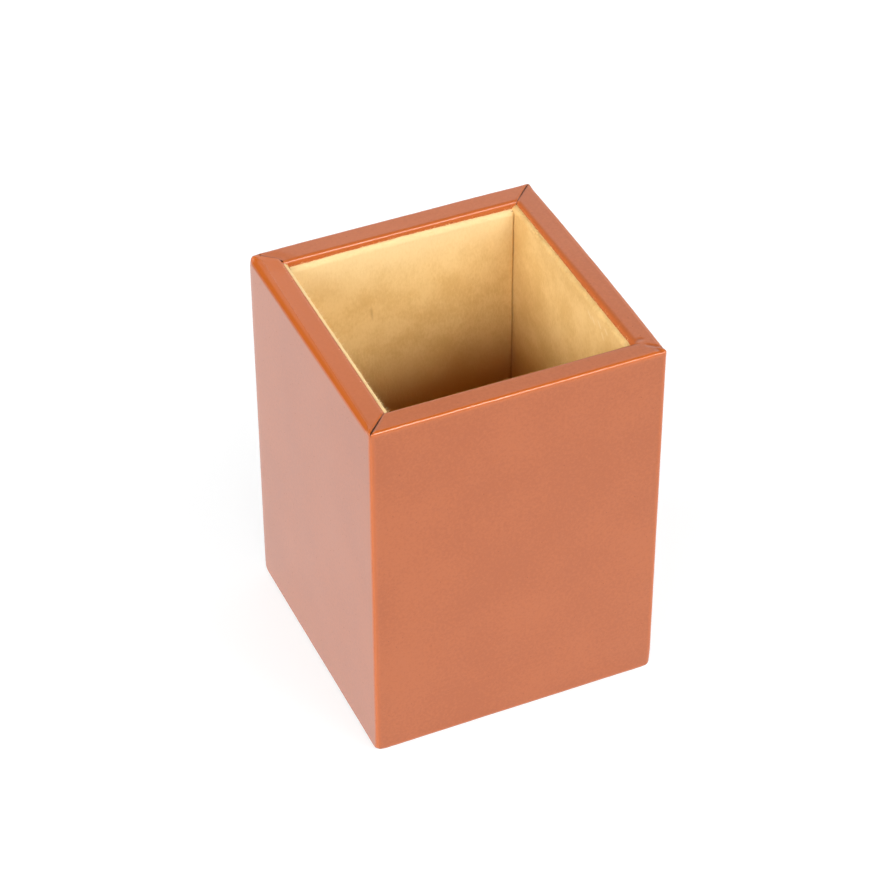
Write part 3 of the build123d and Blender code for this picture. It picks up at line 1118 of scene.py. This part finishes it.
no_lines = drawn_lines("no_lines", [[(0, 0, FAR_BELOW), (0, MM, FAR_BELOW)]])
floor_low, floor_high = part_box("floor_lining_suede")
worker = flat_sheet("floor_lining_flat", floor_low, floor_high, floor_high.z, FLOOR_STEP)
use_tree(worker, SUEDE_RIPPLE, {
    "Wave size": 18 * MM, "Wave depth": 0.10 * MM, "Lump size": 3.0 * MM, "Lump depth": 0.06 * MM,
    "Line width": 1.0 * MM, "Line depth": 0.0, "Creases": no_lines, "Ridges": no_lines, "Finish": SUEDE,
})
solidify(worker, floor_high.z - floor_low.z)
floor_panel = plain_piece(worker, "floor_lining_panel")
bpy.data.objects.remove(no_lines)
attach(floor_panel, "root")
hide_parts("floor_lining_suede")

# %% [markdown]
# ## The felt pad
# A square of pressed brown felt hides the folds of the leather under the base and keeps the pot from
# scratching a desk. Felt is cut with a knife, so its edge is square but woolly. Its fibres lie every way,
# which the finish shows as two fine noises that cross.

# %% Mix the felt finish
FELT_BROWN = (0.150, 0.072, 0.034, 1.0)
FELT_FIBRE = (0.240, 0.125, 0.062, 1.0)
WOOL_SIZE = 0.7 * MM
WOOL_STRETCHES = ((0.35, 1.0, 1.0), (1.0, 0.35, 1.0))
WOOL_DEPTH = 0.12 * MM


def felt_finish():
    material, tree, shader, place = new_finish(
        "brown_felt", ior=1.3, roughness=1.0, specular_ior_level=0.1, sheen_weight=0.3,
    )
    one_way, other_way = [
        noise(tree, place, WOOL_SIZE, detail=4.0, roughness=0.7, stretch=stretch)
        for stretch in WOOL_STRETCHES
    ]
    fibres = one_way.most(other_way)
    colour = tint(tree, fibres.rise(0.45, 0.72), FELT_BROWN, FELT_FIBRE)
    tree.links.new(colour, shader.inputs["Base Color"])
    bump(tree, shader, fibres, WOOL_DEPTH)
    return material


FELT = felt_finish()
print("finish:", FELT.name)

# %% Cut the pad with a soft edge
felt_low, felt_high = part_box("base_felt")
felt_thickness = felt_high.z - felt_low.z
FELT_ROUND = 0.2 * MM
FELT_RINGS = ((1.0, 0.0), (0.3, 0.15), (0.0, 0.4), (0.0, 0.6), (0.3, 0.85), (1.0, 1.0))
FELT_INSET = 0.08 * MM
FELT_STEP = 1.5 * MM
WOOL_REACH_MM = 0.06
WOOL_SEED = 5


def felt_pad():
    """A pad with soft upper and lower edges, its outline a little woolly."""
    side = felt_high.x - felt_low.x
    steps = round(side / FELT_STEP)
    walk = np.linspace(-side / 2, side / 2, steps + 1)[:-1]
    far = np.full(steps, side / 2)
    outline = np.concatenate([
        np.column_stack([walk, -far]), np.column_stack([far, walk]),
        np.column_stack([-walk, far]), np.column_stack([-far, -walk]),
    ])
    count = len(outline)
    wool = np.random.default_rng(WOOL_SEED).uniform(-WOOL_REACH_MM, WOOL_REACH_MM, count) * MM
    points = []
    for round_share, height_share in FELT_RINGS:
        scale = 1 - 2 * (round_share * FELT_ROUND + FELT_INSET + wool[:, None]) / side
        level = np.full(count, felt_low.z + height_share * felt_thickness)
        points += np.column_stack([outline * scale, level]).tolist()
    faces = []
    top = (len(FELT_RINGS) - 1) * count
    for low in range(0, top, count):
        high = low + count
        for step in range(count):
            after = (step + 1) % count
            faces.append((low + step, low + after, high + after, high + step))
    faces.append(tuple(range(count))[::-1])
    faces.append(tuple(range(top, top + count)))
    pad = new_worker("felt_pad_raw", points, faces)
    pad.data.materials.append(FELT)
    return plain_piece(pad, "felt_pad")


pad = felt_pad()
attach(pad, "root")
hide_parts("base_felt")

# %% [markdown]
# ## Boards and cards
# The carcass is medium-density fibreboard, which is fine wood fibre pressed in glue: even, brown and
# speckled. The cards are brown board made of old paper, with darker and paler flecks. Both are covered when
# the pot is whole, but they show as soon as somebody takes it apart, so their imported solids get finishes.

# %% Mix the board and card finishes
BOARD_DARK = (0.30, 0.19, 0.105, 1.0)
BOARD_PALE = (0.42, 0.29, 0.175, 1.0)
CARD_DARK = (0.34, 0.20, 0.095, 1.0)
CARD_PALE = (0.46, 0.30, 0.155, 1.0)
PRESSED_CLOUDS = 25 * MM


def speckled_finish(name, dark, pale, fleck_size, depth):
    """Pressed fibre: two colours mixed by fine flecks over slow clouds."""
    material, tree, shader, place = new_finish(name, ior=1.4, roughness=0.9)
    flecks = noise(tree, place, fleck_size, detail=4.0, roughness=0.75)
    clouds = noise(tree, place, PRESSED_CLOUDS)
    colour = tint(tree, (flecks * 0.8 + clouds * 0.2).rise(0.38, 0.62), dark, pale)
    tree.links.new(colour, shader.inputs["Base Color"])
    bump(tree, shader, flecks, depth)
    return material


BOARD = speckled_finish("fibreboard", BOARD_DARK, BOARD_PALE, fleck_size=0.5 * MM, depth=0.05 * MM)
CARD = speckled_finish("brown_card", CARD_DARK, CARD_PALE, fleck_size=0.8 * MM, depth=0.04 * MM)
finished = []
for name, node in nodes.items():
    finish = BOARD if name.endswith("_board") else CARD if name.endswith("_card") else None
    if finish:
        node.data.materials.clear()
        node.data.materials.append(finish)
        finished.append(name)
print("finished CAD nodes:", finished)

# %% [markdown]
# ## The stage
# The pot stands on a white sweep between two broad soft boxes, one in front and one on the left. Both hang
# low and nothing lights the pot from straight above, which is why the well darkens so quickly. The world
# gives their light: each box is a stretch of the horizon between two heights, with soft borders. A weak
# low one, kept out of reflections, fills the back and the right, and a tall one is the backdrop that the
# rim mirrors. The camera sees the floor and the world white, and reflections see the floor white too. The
# floor keeps a share of its real shading, for a faint shadow.

# %% Make the floor
bpy.context.scene.view_settings.view_transform = "Standard"
WHITE = (1.0, 1.0, 1.0, 1.0)
FLOOR_SIZE = 6.0
FLOOR_MATT = (0.40, 0.40, 0.40, 1.0)
FLOOR_SHADE = (0.425, 0.44, 0.445, 1.0)
FLOOR_GLOW = 0.68


def seen_directly(tree):
    """1 for rays from the camera, from a reflection or through a clear thing, else 0."""
    path = add_node(tree, "ShaderNodeLightPath").outputs
    seen = Field(tree, path["Is Camera Ray"])
    return seen.most(Field(tree, path["Is Glossy Ray"])).most(Field(tree, path["Is Transmission Ray"]))


def floor_finish():
    material = bpy.data.materials.new("white_sweep")
    material.use_nodes = True
    tree = material.node_tree
    tree.nodes.clear()
    matt = add_node(tree, "ShaderNodeBsdfDiffuse", {"Color": FLOOR_MATT})
    shade = add_node(tree, "ShaderNodeBsdfDiffuse", {"Color": FLOOR_SHADE})
    glow = add_node(tree, "ShaderNodeEmission", {"Color": WHITE, "Strength": FLOOR_GLOW})
    shown = add_node(tree, "ShaderNodeAddShader", [result(shade), result(glow)])
    mixed = add_node(tree, "ShaderNodeMixShader", [seen_directly(tree), result(matt), result(shown)])
    tree.links.new(result(mixed), add_node(tree, "ShaderNodeOutputMaterial").inputs["Surface"])
    return material


half = FLOOR_SIZE / 2
floor_corners = [(-half, -half, 0), (half, -half, 0), (half, half, 0), (-half, half, 0)]
floor = new_worker("floor", floor_corners, [(0, 1, 2, 3)])
floor.data.materials.append(floor_finish())
print("floor", FLOOR_SIZE, "m square")

# %% Hang the soft boxes
SOFT_BOXES = {
    "front": {"heading": 20, "half_width": 44, "low": (16, 34), "high": (37.5, 40.5), "strength": 7.3},
    "left": {"heading": -78, "half_width": 45, "low": (4, 22), "high": (33, 36), "strength": 5.6},
    "fill": {"heading": 112, "half_width": 50, "low": (-2, 0), "high": (22, 30), "strength": 2.7},
    "backdrop": {"heading": 156, "half_width": 40, "low": (12, 26), "high": (31, 47), "strength": 1.35},
}
EDGE_BLUR = 10


def soft_box(parts, heading, half_width, low, high, strength):
    """Light from one stretch of the horizon and between two heights, all in degrees."""
    right, back, up = parts
    heading = math.radians(heading)
    ahead = (right * math.sin(heading) - back * math.cos(heading)) / length_of(right, back)
    sides = [math.cos(math.radians(half_width + blur)) for blur in (EDGE_BLUR, -EDGE_BLUR)]
    low, high = [[math.sin(math.radians(angle)) for angle in limits] for limits in (low, high)]
    return ahead.rise(*sides) * up.rise(*low) * (1.0 - up.rise(*high)) * strength


def sky_strength(tree):
    """The soft boxes and the backdrop, and white wherever the camera sees the sky."""
    path = add_node(tree, "ShaderNodeLightPath").outputs
    mirrored = Field(tree, path["Is Glossy Ray"]).most(Field(tree, path["Is Transmission Ray"]))
    direction = add_node(tree, "ShaderNodeTexCoord").outputs["Generated"]
    parts = [Field(tree, part) for part in add_node(tree, "ShaderNodeSeparateXYZ", [direction]).outputs]
    front, left, fill, backdrop = [soft_box(parts, **box) for box in SOFT_BOXES.values()]
    boxes = (front + left + fill * (1.0 - mirrored)).most(backdrop)
    return boxes.most(Field(tree, path["Is Camera Ray"]))


world = bpy.data.worlds.new("soft_light")
world.use_nodes = True
bpy.context.scene.world = world
sky = world.node_tree
sky.nodes["Background"].inputs["Color"].default_value = WHITE
sky.links.new(sky_strength(sky).socket, sky.nodes["Background"].inputs["Strength"])
print("soft boxes:", list(SOFT_BOXES))

# %% [markdown]
# A soft box is brightest in its middle, where its lamp is. A small lamp in the direction of the front box
# stands for that.

# %% Add the lamp of the front box
KEY_HEADING = math.radians(21)
KEY_HEIGHT = math.radians(35)
KEY_DISTANCE = 1.3
KEY_SIZE = 0.15
KEY_POWER = 1.7
key_data = bpy.data.lights.new("key", "AREA")
key_data.size = KEY_SIZE
key_data.energy = KEY_POWER
key = bpy.data.objects.new("key", key_data)
key_away = Vector((
    math.sin(KEY_HEADING) * math.cos(KEY_HEIGHT),
    -math.cos(KEY_HEADING) * math.cos(KEY_HEIGHT),
    math.sin(KEY_HEIGHT),
))
key_place = Matrix.Translation(Vector((0, 0, RIM_TOP)) + key_away * KEY_DISTANCE)
key.matrix_world = key_place @ key_away.to_track_quat("Z", "Y").to_matrix().to_4x4()
bpy.context.scene.collection.objects.link(key)
print("key light at", [round(part, 2) for part in key.location])
